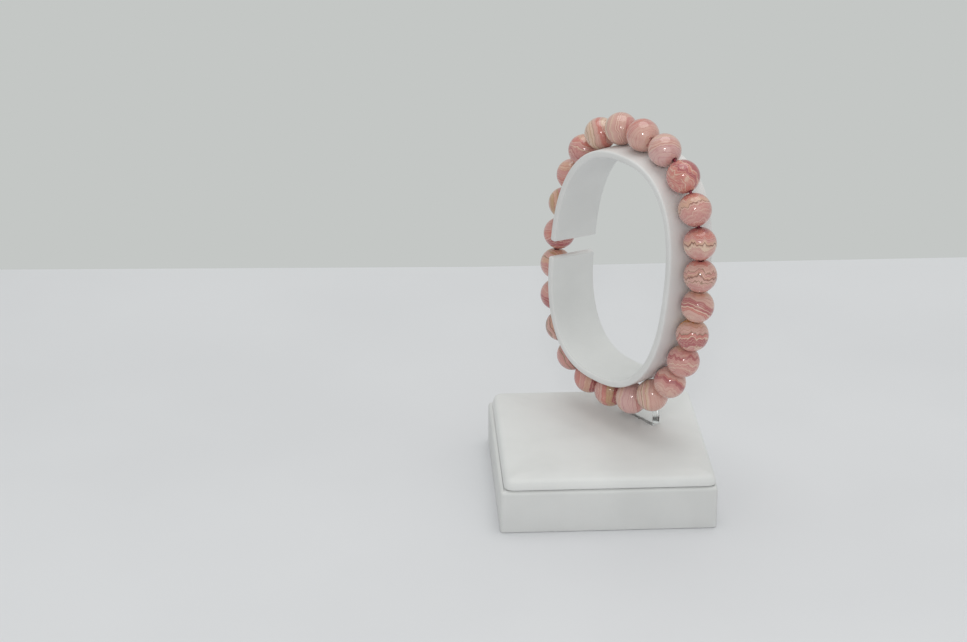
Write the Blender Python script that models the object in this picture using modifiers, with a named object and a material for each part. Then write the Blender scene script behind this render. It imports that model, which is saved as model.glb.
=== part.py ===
"""Rhodochrosite bead bracelet on a C-ring display stand.

A square wrapped base carries a padded top panel. A clear stem stands in a slot in the panel and
holds an open oval band, lined inside, and a stretch bracelet of round beads hangs round the band.
The origin is the centre of the base's underside. The front of the base faces -Y.
"""
import math

import bmesh
import bpy
from mathutils import Matrix, Vector

MM = 0.001
REST_GAP = 0.3 * MM

# Base and padded top panel
BASE_SIDE = 60.0 * MM
BASE_HEIGHT = 12.5 * MM
BASE_ROUNDS = (("vertical", 0.9 * MM, 2), ("top", 1.2 * MM, 3), ("bottom", 0.4 * MM, 1))
PAD_SIDE = 57.8 * MM
PAD_TOP = 16.0 * MM
PAD_ROUNDS = (("vertical", 2.4 * MM, 4), ("top", 1.6 * MM, 3), ("bottom", 0.5 * MM, 1))

# Open oval band. In the ring's own frame x runs along the oval's width, y across the band and
# z up, from the middle of the oval.
RING_TURN = math.radians(-55.0)
RING_BEHIND_CENTRE = 9.4 * MM
RING_CENTRE_HEIGHT = 64.9 * MM
RING_HALF_WIDTH = 24.9 * MM
RING_HALF_HEIGHT = 35.0 * MM
RING_SQUARENESS = 2.47
RING_LEAN = 0.118
BAND_WIDTH = 15.9 * MM
BAND_THICKNESS = 1.9 * MM
BAND_ROUNDING = 0.7 * MM
BAND_SEGMENTS = 64
GAP_HEIGHT = 63.6 * MM
GAP_WIDTH = 5.1 * MM
GAP_SLOPE = 0.09

# Strip of lining round the inside of the band
LINING_WIDTH = 13.0 * MM
LINING_THICKNESS = 0.5 * MM
LINING_CLEARANCE = 0.12 * MM
LINING_END_MARGIN = 1.2 * MM

# Clear stem, behind the bracelet
STEM_LENGTH = 12.8 * MM
STEM_FRONT = 5.2 * MM
STEM_THICKNESS = BAND_WIDTH / 2 - STEM_FRONT
STEM_ROUNDS = (("vertical", 0.3 * MM, 1),)

# Bracelet
BEAD_COUNT = 24
BEAD_RADIUS = 4.5 * MM
BEAD_HOLE_RADIUS = 0.8 * MM
BEAD_STEPS = 14
BEAD_ARC_STEPS = 8
BEAD_OFF_BAND = 0.1 * MM
FIRST_BEAD_ARC = 64.48 * MM
BEAD_SPREAD = ((1, -0.44 * MM, -1.19 * MM), (2, -0.15 * MM, -0.09 * MM))
BRACELET_ACROSS = -0.91 * MM
BRACELET_WANDER = (
    (1, 0.57 * MM, -0.18 * MM), (2, -0.06 * MM, -0.76 * MM), (3, 0.19 * MM, -0.21 * MM))
CORD_RADIUS = 0.4 * MM
CORD_TURN_INSIDE_BEAD = 0.15 * MM

OUTLINE_SAMPLES = 1440


class Loop:
    """A closed run of points that is walked by arc length."""

    def __init__(self, points):
        self.points = points
        self.lengths = [0.0]
        for k, point in enumerate(points):
            self.lengths.append(self.lengths[-1] + (points[(k + 1) % len(points)] - point).length)
        self.total = self.lengths[-1]

    def at(self, arc):
        """Return the point at an arc length from the first point."""
        arc %= self.total
        low, high = 0, len(self.points)
        while high - low > 1:
            middle = (low + high) // 2
            low, high = (middle, high) if self.lengths[middle] <= arc else (low, middle)
        share = (arc - self.lengths[low]) / (self.lengths[low + 1] - self.lengths[low])
        return self.points[low].lerp(self.points[(low + 1) % len(self.points)], share)

    def arc_at_left_height(self, height):
        """Return the arc length of the point on the -x side at a height."""
        count = len(self.points)
        nearest = min(range(count // 4, 3 * count // 4), key=lambda k: abs(self.points[k].z - height))
        return self.lengths[nearest]


def oval_points(outset=0.0):
    """Return the oval of the band's outer face, pushed out along its own plane.

    It starts at the +x side and runs over the top, down the -x side and back under the bottom.
    """
    power = 2.0 / RING_SQUARENESS
    plain = []
    for k in range(OUTLINE_SAMPLES):
        angle = math.tau * k / OUTLINE_SAMPLES
        across, up = math.cos(angle), math.sin(angle)
        z = RING_HALF_HEIGHT * math.copysign(abs(up) ** power, up)
        x = RING_HALF_WIDTH * math.copysign(abs(across) ** power, across) + RING_LEAN * z
        plain.append(Vector((x, 0.0, z)))
    pushed = []
    for k, point in enumerate(plain):
        along = plain[(k + 1) % OUTLINE_SAMPLES] - plain[k - 1]
        outward = Vector((along.z, 0.0, -along.x)).normalized()
        pushed.append(point + outward * outset)
    return pushed


def wave(parts, turn):
    """Add up waves, each given as its order and the sizes of its cosine and sine."""
    return sum(c * math.cos(order * turn) + s * math.sin(order * turn) for order, c, s in parts)


def bead_centres():
    """Return the bead centres round the band, which wander a little along it and across it."""
    loop = Loop(oval_points(BEAD_RADIUS + BEAD_OFF_BAND))
    centres = []
    for k in range(BEAD_COUNT):
        turn = math.tau * k / BEAD_COUNT
        centre = loop.at(FIRST_BEAD_ARC - loop.total * k / BEAD_COUNT + wave(BEAD_SPREAD, turn))
        centre.y = BRACELET_ACROSS + wave(BRACELET_WANDER, turn)
        centres.append(centre)
    return centres


def make_material(name, colour, roughness, transmission=0.0):
    """Return a Principled material."""
    made = bpy.data.materials.new(name)
    made.use_nodes = True
    shader = made.node_tree.nodes["Principled BSDF"]
    shader.inputs["Base Color"].default_value = (*colour, 1.0)
    shader.inputs["Roughness"].default_value = roughness
    shader.inputs["Metallic"].default_value = 0.0
    shader.inputs["Transmission Weight"].default_value = transmission
    made.diffuse_color = (*colour, 1.0)
    return made


def add_object(name, data, collection, look=None, parent=None):
    """Put data in a collection as a named object, with its material and parent."""
    made = bpy.data.objects.new(name, data)
    collection.objects.link(made)
    made.parent = parent
    if look is not None:
        data.materials.append(look)
    return made


def mesh_from(work, name, smooth_angle=40.0):
    """Turn a bmesh into a mesh that is shaded smooth up to an angle, and free it."""
    mesh = bpy.data.meshes.new(name)
    work.to_mesh(mesh)
    work.free()
    mesh.shade_smooth()
    mesh.set_sharp_from_angle(angle=math.radians(smooth_angle))
    return mesh


def rounded_box(name, width, depth, low, high, rounds=()):
    """Return a box centred on z. Each round names vertical, top or bottom edges, a radius and steps."""
    work = bmesh.new()
    place = Matrix.Translation((0.0, 0.0, (low + high) / 2)) @ Matrix.Diagonal((width, depth, high - low, 1.0))
    bmesh.ops.create_cube(work, size=1.0, matrix=place)
    for which, radius, steps in rounds:
        chosen = []
        for edge in work.edges:
            first, second = (corner.co.z for corner in edge.verts)
            if abs(first - second) > radius:
                kind = "vertical"
            elif first > (low + high) / 2:
                kind = "top"
            else:
                kind = "bottom"
            if kind == which:
                chosen.append(edge)
        bmesh.ops.bevel(work, geom=chosen, offset=radius, segments=steps, profile=0.5, affect="EDGES")
    return mesh_from(work, name)


def cut(target, cutter, name):
    """Take a cutter's shape out of an object."""
    cutter.hide_render = True
    cutter.display_type = "WIRE"
    boolean = target.modifiers.new(name, "BOOLEAN")
    boolean.operation = "DIFFERENCE"
    boolean.solver = "EXACT"
    boolean.object = cutter


def band_strip(name, depth, width, thickness, end_margin=0.0, rounding=0.0):
    """Return a strip that follows the oval from the lower jaw of the gap round to the upper one.

    It starts as a flat grid that is laid round the oval, and Solidify grows it inwards.
    """
    loop = Loop(oval_points(-depth))
    gap_middle = loop.arc_at_left_height(GAP_HEIGHT - RING_CENTRE_HEIGHT)
    start = gap_middle + GAP_WIDTH / 2 + end_margin
    length = loop.total - GAP_WIDTH - 2 * end_margin
    work = bmesh.new()
    bmesh.ops.create_grid(work, x_segments=BAND_SEGMENTS, y_segments=1, size=1.0)
    for corner in work.verts:
        across = -corner.co.y * width / 2
        arc = start + (corner.co.x + 1.0) / 2 * length + GAP_SLOPE * across
        point = loop.at(arc)
        corner.co = (point.x, across, point.z)
    made = bpy.data.objects.new(name, mesh_from(work, name))
    wall = made.modifiers.new("wall", "SOLIDIFY")
    wall.thickness = thickness
    wall.offset = -1.0
    wall.use_even_offset = True
    if rounding:
        rim = made.modifiers.new("rim", "BEVEL")
        rim.width = rounding
        rim.segments = 2
        rim.limit_method = "ANGLE"
        rim.angle_limit = math.radians(50.0)
    return made


def build_stand(parts, cutters, ring_frame, looks):
    """Add the base, the pad with its slot, and the stem under the band."""
    base = rounded_box("base", BASE_SIDE, BASE_SIDE, 0.0, BASE_HEIGHT, BASE_ROUNDS)
    add_object("base", base, parts, looks["wrap"])

    pad_mesh = rounded_box("top_pad", PAD_SIDE, PAD_SIDE, BASE_HEIGHT + REST_GAP, PAD_TOP, PAD_ROUNDS)
    pad = add_object("top_pad", pad_mesh, parts, looks["wrap"])

    stem_low = BASE_HEIGHT + REST_GAP - RING_CENTRE_HEIGHT
    stem_top = -RING_HALF_HEIGHT + STEM_LENGTH / 4
    stem_mesh = rounded_box("stem", STEM_LENGTH, STEM_THICKNESS, stem_low, stem_top, STEM_ROUNDS)
    stem = add_object("stem", stem_mesh, parts, looks["clear"], ring_frame)
    stem.location.y = STEM_FRONT + STEM_THICKNESS / 2

    work = bmesh.new()
    bmesh.ops.create_circle(work, cap_ends=True, segments=BAND_SEGMENTS * 2, radius=1.0)
    loop = Loop(oval_points(REST_GAP))
    for k, corner in enumerate(work.verts):
        point = loop.at(k * loop.total / len(work.verts))
        corner.co = (point.x, 0.0, point.z)
    made = bmesh.ops.extrude_face_region(work, geom=work.faces[:])
    moved = [item for item in made["geom"] if isinstance(item, bmesh.types.BMVert)]
    bmesh.ops.translate(work, verts=moved, vec=(0.0, BAND_WIDTH, 0.0))
    bmesh.ops.recalc_face_normals(work, faces=work.faces[:])
    saddle = add_object("saddle_cutter", mesh_from(work, "saddle_cutter"), cutters, parent=ring_frame)
    cut(stem, saddle, "saddle")

    slot_mesh = rounded_box(
        "slot_cutter", STEM_LENGTH + 2 * REST_GAP, STEM_THICKNESS + 2 * REST_GAP,
        stem_low - PAD_TOP, -RING_HALF_HEIGHT)
    slot = add_object("slot_cutter", slot_mesh, cutters, parent=ring_frame)
    slot.location.y = stem.location.y
    cut(pad, slot, "slot")


def build_ring(parts, ring_frame, looks):
    """Add the open band and the strip that lines it."""
    band = band_strip("ring_band", 0.0, BAND_WIDTH, BAND_THICKNESS, rounding=BAND_ROUNDING)
    lining_depth = BAND_THICKNESS + LINING_CLEARANCE
    lining = band_strip("ring_lining", lining_depth, LINING_WIDTH, LINING_THICKNESS, LINING_END_MARGIN)
    for strip in (band, lining):
        strip.data.materials.append(looks["wrap"])
        strip.parent = ring_frame
        parts.objects.link(strip)


def bead_profile():
    """Return a drilled bead's half section: down the outside, then back up the hole."""
    low_angle = math.asin(BEAD_HOLE_RADIUS / BEAD_RADIUS)
    sweep = math.pi - 2 * low_angle
    angles = [low_angle + sweep * k / BEAD_ARC_STEPS for k in range(BEAD_ARC_STEPS + 1)]
    points = [(BEAD_RADIUS * math.sin(a), 0.0, BEAD_RADIUS * math.cos(a)) for a in angles]
    edges = [(k, (k + 1) % len(points)) for k in range(len(points))]
    mesh = bpy.data.meshes.new("bead_profile")
    mesh.from_pydata(points, edges, [])
    return mesh


def build_bracelet(parts, ring_frame, looks):
    """Add the beads, side by side round the band, and the elastic through their holes."""
    centres = bead_centres()
    profile = bead_profile()
    profile.materials.append(looks["bead"])
    cord_points = []
    for k, centre in enumerate(centres):
        along = (centres[(k + 1) % BEAD_COUNT] - centres[k - 1]).normalized()
        bead = add_object(f"bead_{k + 1:02d}", profile, parts, parent=ring_frame)
        bead.location = centre
        bead.rotation_euler = along.to_track_quat("Z", "Y").to_euler()
        turn = bead.modifiers.new("turned", "SCREW")
        turn.steps = BEAD_STEPS
        turn.render_steps = BEAD_STEPS
        turn.use_merge_vertices = True
        turn.merge_threshold = 0.00001
        turn.use_smooth_shade = True
        reach = along * (BEAD_RADIUS - CORD_TURN_INSIDE_BEAD)
        cord_points += [centre - reach, centre + reach]

    elastic = bpy.data.curves.new("elastic_cord", "CURVE")
    elastic.dimensions = "3D"
    elastic.bevel_depth = CORD_RADIUS
    elastic.bevel_resolution = 2
    spline = elastic.splines.new("POLY")
    spline.points.add(len(cord_points) - 1)
    for slot, point in zip(spline.points, cord_points):
        slot.co = (*point, 1.0)
    spline.use_cyclic_u = True
    add_object("elastic_cord", elastic, parts, looks["elastic"], ring_frame)


def main():
    """Clear the scene and build the bracelet on its stand."""
    for old in list(bpy.data.objects):
        bpy.data.objects.remove(old, do_unlink=True)
    parts = bpy.data.collections.new("bead_bracelet_on_display_stand")
    cutters = bpy.data.collections.new("cutters")
    for collection in (parts, cutters):
        bpy.context.scene.collection.children.link(collection)
    looks = {
        "wrap": make_material("white_leatherette", (0.62, 0.63, 0.61), 0.55),
        "clear": make_material("clear_acrylic", (0.95, 0.96, 0.96), 0.05, transmission=1.0),
        "bead": make_material("rhodochrosite", (0.55, 0.24, 0.22), 0.12),
        "elastic": make_material("crimson_elastic", (0.35, 0.02, 0.08), 0.45),
    }
    ring_frame = add_object("ring_frame", None, parts)
    behind = Matrix.Rotation(RING_TURN, 4, "Z") @ Vector((0.0, RING_BEHIND_CENTRE, 0.0))
    ring_frame.location = (behind.x, behind.y, RING_CENTRE_HEIGHT)
    ring_frame.rotation_euler.z = RING_TURN
    build_stand(parts, cutters, ring_frame, looks)
    build_ring(parts, ring_frame, looks)
    build_bracelet(parts, ring_frame, looks)


main()
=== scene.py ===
"""Looks for a rhodochrosite bead bracelet that hangs on an open oval ring over a square stand.

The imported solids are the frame. Every visible piece is remodelled over its solid, in metres: the
wrapped base, the padded panel, the clear stem, the wrapped ring with its lining, the polished beads
and the elastic through them.
"""
import logging
import math
from contextlib import contextmanager
from dataclasses import dataclass, field
from enum import Enum
from typing import Callable, Iterator, Sequence

import bmesh
import bpy
from mathutils import Matrix, Vector


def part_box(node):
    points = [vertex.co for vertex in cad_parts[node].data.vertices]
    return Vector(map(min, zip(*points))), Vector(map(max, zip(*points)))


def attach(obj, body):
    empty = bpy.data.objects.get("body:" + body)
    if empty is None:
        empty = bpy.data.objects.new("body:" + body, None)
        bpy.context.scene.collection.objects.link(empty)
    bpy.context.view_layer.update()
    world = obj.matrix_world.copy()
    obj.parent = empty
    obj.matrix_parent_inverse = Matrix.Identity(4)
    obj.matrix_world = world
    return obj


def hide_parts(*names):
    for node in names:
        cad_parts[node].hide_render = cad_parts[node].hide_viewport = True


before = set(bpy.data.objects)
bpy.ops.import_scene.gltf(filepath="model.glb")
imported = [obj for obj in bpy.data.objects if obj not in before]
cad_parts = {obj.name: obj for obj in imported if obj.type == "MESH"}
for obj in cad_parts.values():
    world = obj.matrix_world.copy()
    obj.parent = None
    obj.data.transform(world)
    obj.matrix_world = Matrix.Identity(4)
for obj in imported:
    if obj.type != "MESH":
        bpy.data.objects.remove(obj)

LOG = logging.getLogger("bracelet")
MM = 0.001
RGB = tuple[float, float, float]
NEAR = 1e-5  # how far a point may lie from a height and still count as on it
LEVEL = 1e-6  # how far a level edge's ends may differ in height


# Helpers for modelling


def deselect() -> None:
    """Leave object mode and select nothing."""
    if bpy.context.object is not None and bpy.context.object.mode != "OBJECT":
        bpy.ops.object.mode_set(mode="OBJECT")
    bpy.ops.object.select_all(action="DESELECT")


def activate(piece: bpy.types.Object) -> None:
    """Select one object alone and make it the active one.

    Args:
        piece: the object.
    """
    deselect()
    piece.select_set(True)
    bpy.context.view_layer.objects.active = piece


@contextmanager
def editing(piece: bpy.types.Object) -> Iterator[None]:
    """Work on one object in edit mode, with nothing selected in it at first.

    Args:
        piece: the object.

    Yields:
        Nothing, while edit mode lasts.
    """
    activate(piece)
    bpy.ops.object.mode_set(mode="EDIT")
    bpy.ops.mesh.select_all(action="DESELECT")
    try:
        yield
    finally:
        bpy.ops.object.mode_set(mode="OBJECT")


def pick(kind: str, test: Callable[[object], bool]) -> int:
    """Select parts of the mesh that is being edited.

    Args:
        kind: "VERT", "EDGE" or "FACE".
        test: says whether a part of that kind is wanted.

    Returns:
        How many were selected.
    """
    bpy.ops.mesh.select_mode(type=kind)
    bpy.ops.mesh.select_all(action="DESELECT")
    mesh = bpy.context.edit_object.data
    work = bmesh.from_edit_mesh(mesh)
    parts = {"VERT": work.verts, "EDGE": work.edges, "FACE": work.faces}[kind]
    chosen = [part for part in parts if test(part)]
    for part in chosen:
        part.select_set(True)
    work.select_flush_mode()
    bmesh.update_edit_mesh(mesh)
    return len(chosen)


def climb(edge: bmesh.types.BMEdge) -> float:
    """How far an edge's ends are apart in height."""
    return abs(edge.verts[0].co.z - edge.verts[1].co.z)


def shape_points(piece: bpy.types.Object, place: Callable[[Vector], Vector]) -> None:
    """Move every point of a mesh.

    Args:
        piece: the object with the mesh.
        place: gives a point's new place.
    """
    for point in piece.data.vertices:
        point.co = place(point.co)
    piece.data.update()


def finish_modifier(piece: bpy.types.Object, kind: str, **settings: object) -> None:
    """Add a modifier with its settings and apply it.

    Args:
        piece: the object.
        kind: the modifier's type.
        settings: its properties.
    """
    activate(piece)
    made = piece.modifiers.new(kind.lower(), kind)
    for name, value in settings.items():
        setattr(made, name, value)
    bpy.ops.object.modifier_apply(modifier=made.name)


def round_edges(piece: bpy.types.Object, width: float, segments: int, degrees: float) -> None:
    """Round the edges of a piece that are sharper than an angle.

    Args:
        piece: the object.
        width: how far the rounding reaches.
        segments: how many faces it has.
        degrees: the angle.
    """
    angle = math.radians(degrees)
    shape = {"width": width, "segments": segments, "limit_method": "ANGLE", "angle_limit": angle}
    finish_modifier(piece, "BEVEL", **shape)


def settle(piece: bpy.types.Object, place: Matrix | None = None) -> None:
    """Put a piece at its place and move that place into its mesh.

    Args:
        piece: the object.
        place: where it goes, or None where it is there already.
    """
    activate(piece)
    if place is not None:
        piece.matrix_world = place
    bpy.ops.object.transform_apply(location=True, rotation=True, scale=True)


def smooth(piece: bpy.types.Object, degrees: float = 35.0) -> None:
    """Shade a piece smooth, but not over edges sharper than an angle."""
    activate(piece)
    bpy.ops.object.shade_smooth_by_angle(angle=math.radians(degrees))


def add_box(name: str, size: Vector, centre: Vector) -> bpy.types.Object:
    """Add a box that is ready to be shaped.

    Args:
        name: its name.
        size: its lengths along the axes.
        centre: its middle.

    Returns:
        The box.
    """
    deselect()
    bpy.ops.mesh.primitive_cube_add(size=1.0, location=centre)
    piece = bpy.context.object
    piece.name = piece.data.name = name
    piece.scale = size
    settle(piece)
    return piece


def seat(piece: bpy.types.Object, material: bpy.types.Material, slot: str, *nodes: str) -> None:
    """Dress a finished piece, parent it to the root body's empty and hide the CAD nodes that it
    replaces.

    Args:
        piece: the object.
        material: its finish.
        slot: not used.
        nodes: the CAD nodes that it replaces.
    """
    piece.data.materials.clear()
    piece.data.materials.append(material)
    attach(piece, "root")
    if nodes:
        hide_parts(*nodes)
    LOG.info("%s: %d faces", piece.name, len(piece.data.polygons))


# Helpers for shaders


class Link:
    """A node's output, a number or a vector, that can be used in Python expressions."""

    def __init__(self, graph: "Graph", socket: bpy.types.NodeSocket) -> None:
        """Wrap a socket of a graph."""
        self.graph = graph
        self.socket = socket

    @property
    def is_vector(self) -> bool:
        """True for a vector or a colour."""
        return self.socket.type in ("VECTOR", "RGBA")

    def _do(self, operation: str, first: object, second: object) -> "Link":
        """Add the Math or Vector Math node for an operation.

        Args:
            operation: the node's operation.
            first: its first operand, a link or a constant.
            second: its second operand.

        Returns:
            The result.
        """
        vector = any(isinstance(x, Link) and x.is_vector for x in (first, second))
        kind = "ShaderNodeVectorMath" if vector else "ShaderNodeMath"
        if vector:
            first, second = (
                (x,) * 3 if isinstance(x, (int, float)) else x for x in (first, second)
            )
        return self.graph.node(kind, {"operation": operation}, {0: first, 1: second})

    def __add__(self, other: object) -> "Link":
        """self + other."""
        return self._do("ADD", self, other)

    def __radd__(self, other: object) -> "Link":
        """other + self."""
        return self._do("ADD", other, self)

    def __sub__(self, other: object) -> "Link":
        """self - other."""
        return self._do("SUBTRACT", self, other)

    def __rsub__(self, other: object) -> "Link":
        """other - self."""
        return self._do("SUBTRACT", other, self)

    def __mul__(self, other: object) -> "Link":
        """self * other."""
        return self._do("MULTIPLY", self, other)

    def dot(self, other: Sequence[float]) -> "Link":
        """The dot product with a fixed vector."""
        inputs = {0: self, 1: tuple(other)}
        return self.graph.node("ShaderNodeVectorMath", {"operation": "DOT_PRODUCT"}, inputs, "Value")

    def step(self, low: float, high: float) -> "Link":
        """Turn the value into a smooth step.

        Args:
            low: the value at which it is 0.
            high: the value at which it is 1.

        Returns:
            The step.
        """
        ends = {"Value": self, "From Min": low, "From Max": high}
        kind = {"interpolation_type": "SMOOTHSTEP"}
        return self.graph.node("ShaderNodeMapRange", kind, ends, "Result")


class Graph:
    """The nodes of one material, with its Principled shader."""

    def __init__(self, name: str, preview: RGB) -> None:
        """Start a material.

        Args:
            name: the material's name.
            preview: its plain colour where no nodes are shown.
        """
        self.material = bpy.data.materials.new(name)
        self.material.use_nodes = True
        self.material.diffuse_color = (*preview, 1.0)
        self.tree = self.material.node_tree
        self.shader = self.tree.nodes["Principled BSDF"]

    def node(
        self,
        kind: str,
        settings: dict[str, object] | None = None,
        inputs: dict[object, object] | None = None,
        output: object = 0,
    ) -> Link:
        """Add a node.

        Args:
            kind: the node's type.
            settings: its properties, and "stops" for a colour ramp's (place, colour) pairs.
            inputs: values or links, by socket name or number.
            output: the name or number of the output that is wanted.

        Returns:
            That output.
        """
        made = self.tree.nodes.new(kind)
        for name, value in (settings or {}).items():
            if name == "stops":
                self._set_stops(made.color_ramp, value)
            else:
                setattr(made, name, value)
        for name, value in (inputs or {}).items():
            self._feed(made.inputs[name], value)
        return Link(self, made.outputs[output])

    def _set_stops(self, ramp: bpy.types.ColorRamp, stops: Sequence[tuple[float, RGB]]) -> None:
        """Give a colour ramp its stops.

        Args:
            ramp: the colour ramp.
            stops: their (place, colour) pairs.
        """
        for _ in range(len(stops) - 2):
            ramp.elements.new(0.5)
        for element, (place, _) in zip(ramp.elements, stops):
            element.position = place
        for element, (_, colour) in zip(ramp.elements, stops):
            element.color = (*colour, 1.0)

    def _feed(self, socket: bpy.types.NodeSocket, value: object) -> None:
        """Link or set one input.

        Args:
            socket: the input.
            value: a link, a number, a vector or a colour.
        """
        if isinstance(value, Link):
            self.tree.links.new(value.socket, socket)
        elif socket.type == "RGBA" and len(value) == 3:
            socket.default_value = (*value, 1.0)
        else:
            socket.default_value = value

    def place(self) -> Link:
        """The point of the surface, in the object's own metres."""
        return self.node("ShaderNodeTexCoord", output="Object")

    def blend(self, factor: object, first: object, second: object) -> Link:
        """Mix two colours.

        Args:
            factor: the share of the second.
            first: the colour at 0.
            second: the colour at 1.

        Returns:
            The mixed colour.
        """
        made = self.tree.nodes.new("ShaderNodeMix")
        made.data_type = "RGBA"
        for index, value in ((0, factor), (6, first), (7, second)):
            self._feed(made.inputs[index], value)
        return Link(self, made.outputs[2])

    def noise(self, place: Link, scale: float, detail: float = 2.0, roughness: float = 0.5) -> Link:
        """A noise from 0 to 1 round 0.5 at a point."""
        inputs = {"Vector": place, "Scale": scale, "Detail": detail, "Roughness": roughness}
        return self.node("ShaderNodeTexNoise", {"noise_dimensions": "3D"}, inputs, "Fac")

    def noise_along(self, value: Link, detail: float = 2.0, roughness: float = 0.5) -> Link:
        """A noise that changes along one value alone."""
        inputs = {"W": value, "Scale": 1.0, "Detail": detail, "Roughness": roughness}
        return self.node("ShaderNodeTexNoise", {"noise_dimensions": "1D"}, inputs, "Fac")

    def cells(self, place: Link, scale: float, feature: str = "SMOOTH_F1") -> Link:
        """The distance to the nearest cell centre of a Voronoi pattern."""
        inputs = {"Vector": place, "Scale": scale}
        return self.node("ShaderNodeTexVoronoi", {"feature": feature}, inputs, "Distance")

    def bump(self, height: Link, depth: float) -> None:
        """Feed a height from 0 to 1 to the normal, as deep as depth in metres."""
        inputs = {"Height": height, "Distance": depth, "Strength": 1.0}
        self.dress({"Normal": self.node("ShaderNodeBump", None, inputs, "Normal")})

    def dress(self, values: dict[str, object]) -> None:
        """Set or link inputs of the Principled shader."""
        for name, value in values.items():
            self._feed(self.shader.inputs[name], value)


def paint(red: int, green: int, blue: int) -> RGB:
    """Turn a display colour from 0 to 255 into the linear one that a shader takes."""
    shares = (value / 255.0 for value in (red, green, blue))
    return tuple(v / 12.92 if v <= 0.04045 else ((v + 0.055) / 1.055) ** 2.4 for v in shares)


# Finishes


@dataclass(frozen=True)
class Leatherette:
    """White leatherette with a fine pebbled grain.

    Attributes:
        name: the material's name.
        tone: its colour.
        grain: size of a pebble of the grain.
        relief: depth of the grain.
        roughness: its mean roughness.
        clouds: scale of its faint clouds.
        shade: how bright the clouds are against the tone.
        specks: scale of its warm specks.
        warmth: what turns the tone into the specks' colour.
    """

    name: str
    tone: RGB
    grain: float = 0.42 * MM
    relief: float = 0.012 * MM
    roughness: float = 0.5
    clouds: float = 45.0
    shade: float = 0.93
    specks: float = 900.0
    warmth: RGB = (0.97, 0.955, 0.93)

    def material(self) -> bpy.types.Material:
        """Build the material.

        Returns:
            The material.
        """
        graph = Graph(self.name, self.tone)
        place = graph.place()
        drift = graph.noise(place, self.clouds, 3.0)
        speck = graph.noise(place, self.specks, 2.0, 0.6)
        shade = tuple(value * self.shade for value in self.tone)
        soft = graph.blend(drift.step(0.35, 0.7), self.tone, shade)
        warm = tuple(value * share for value, share in zip(self.tone, self.warmth))
        colour = graph.blend(speck.step(0.55, 0.85) * 0.5, soft, warm)
        wobble = {"Vector": place, "Scale": 1.2 / self.grain}
        bent = place + graph.node("ShaderNodeTexNoise", None, wobble, "Color") * (self.grain * 0.5)
        pebble = graph.cells(bent, 1.0 / self.grain)
        crease = graph.noise(place, 0.35 / self.grain, 3.0, 0.6)
        height = 1.0 - pebble * 0.8 + crease * 0.5
        graph.bump(height, self.relief)
        graph.dress(
            {
                "Base Color": colour,
                "Roughness": self.roughness + (pebble - 0.4) * 0.12 + (drift - 0.5) * 0.1,
                "Specular IOR Level": 0.42,
            }
        )
        return graph.material


@dataclass(frozen=True)
class ClearAcrylic:
    """Clear polished acrylic, faintly hazed on the surface."""

    name: str = "clear_acrylic"
    tone: RGB = (0.975, 0.985, 0.985)

    def material(self) -> bpy.types.Material:
        """Build the material.

        Returns:
            The material.
        """
        graph = Graph(self.name, self.tone)
        place = graph.place()
        haze = graph.noise(place, 260.0, 4.0, 0.6)
        scuff = graph.noise(place * (1.0, 1.0, 7.0), 500.0, 2.0)
        graph.bump(scuff, 0.004 * MM)
        graph.dress(
            {
                "Base Color": self.tone,
                "Roughness": 0.015 + haze.step(0.5, 0.9) * 0.05,
                "IOR": 1.49,
                "Transmission Weight": 1.0,
            }
        )
        return graph.material


@dataclass(frozen=True)
class ElasticFibre:
    """Crimson stretch elastic of fine fibres that run along the cord."""

    name: str = "crimson_elastic"
    tone: RGB = paint(128, 30, 50)
    pale: RGB = paint(160, 62, 80)

    def material(self) -> bpy.types.Material:
        """Build the material.

        Returns:
            The material.
        """
        graph = Graph(self.name, self.tone)
        place = graph.place()
        fibre = graph.noise(place, 2600.0, 3.0, 0.7)
        patch = graph.noise(place, 420.0, 2.0)
        dark = tuple(value * 0.5 for value in self.tone)
        colour = graph.blend(patch.step(0.3, 0.7), self.tone, self.pale)
        colour = graph.blend(fibre.step(0.45, 0.75) * 0.8, colour, dark)
        graph.bump(fibre, 0.03 * MM)
        graph.dress({"Base Color": colour, "Roughness": 0.42 + fibre * 0.2})
        return graph.material


@dataclass(frozen=True)
class LinerPaper:
    """Pale grey fibrous paper that covers the underside."""

    name: str = "liner_paper"
    tone: RGB = paint(206, 204, 198)

    def material(self) -> bpy.types.Material:
        """Build the material.

        Returns:
            The material.
        """
        graph = Graph(self.name, self.tone)
        place = graph.place()
        fleck = graph.noise(place, 1500.0, 4.0, 0.7)
        cloud = graph.noise(place, 120.0, 3.0)
        dark = tuple(value * 0.8 for value in self.tone)
        share = fleck.step(0.4, 0.8) * 0.6 + cloud.step(0.4, 0.8) * 0.25
        colour = graph.blend(share, self.tone, dark)
        graph.bump(fleck, 0.02 * MM)
        graph.dress({"Base Color": colour, "Roughness": 0.85 + (cloud - 0.5) * 0.15})
        return graph.material


class Tone(Enum):
    """The tones of banded rhodochrosite."""

    ROSE = paint(176, 96, 98)
    SALMON = paint(204, 127, 117)
    PINK = paint(207, 148, 141)
    MAUVE = paint(188, 138, 140)
    LILAC = paint(214, 170, 166)
    BLUSH = paint(214, 168, 156)
    PEACH = paint(212, 166, 144)
    CREAM = paint(224, 194, 172)
    OCHRE = paint(192, 154, 116)
    OLIVE = paint(150, 118, 94)
    AMBER = paint(206, 140, 62)
    BROWN = paint(128, 84, 70)


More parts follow.
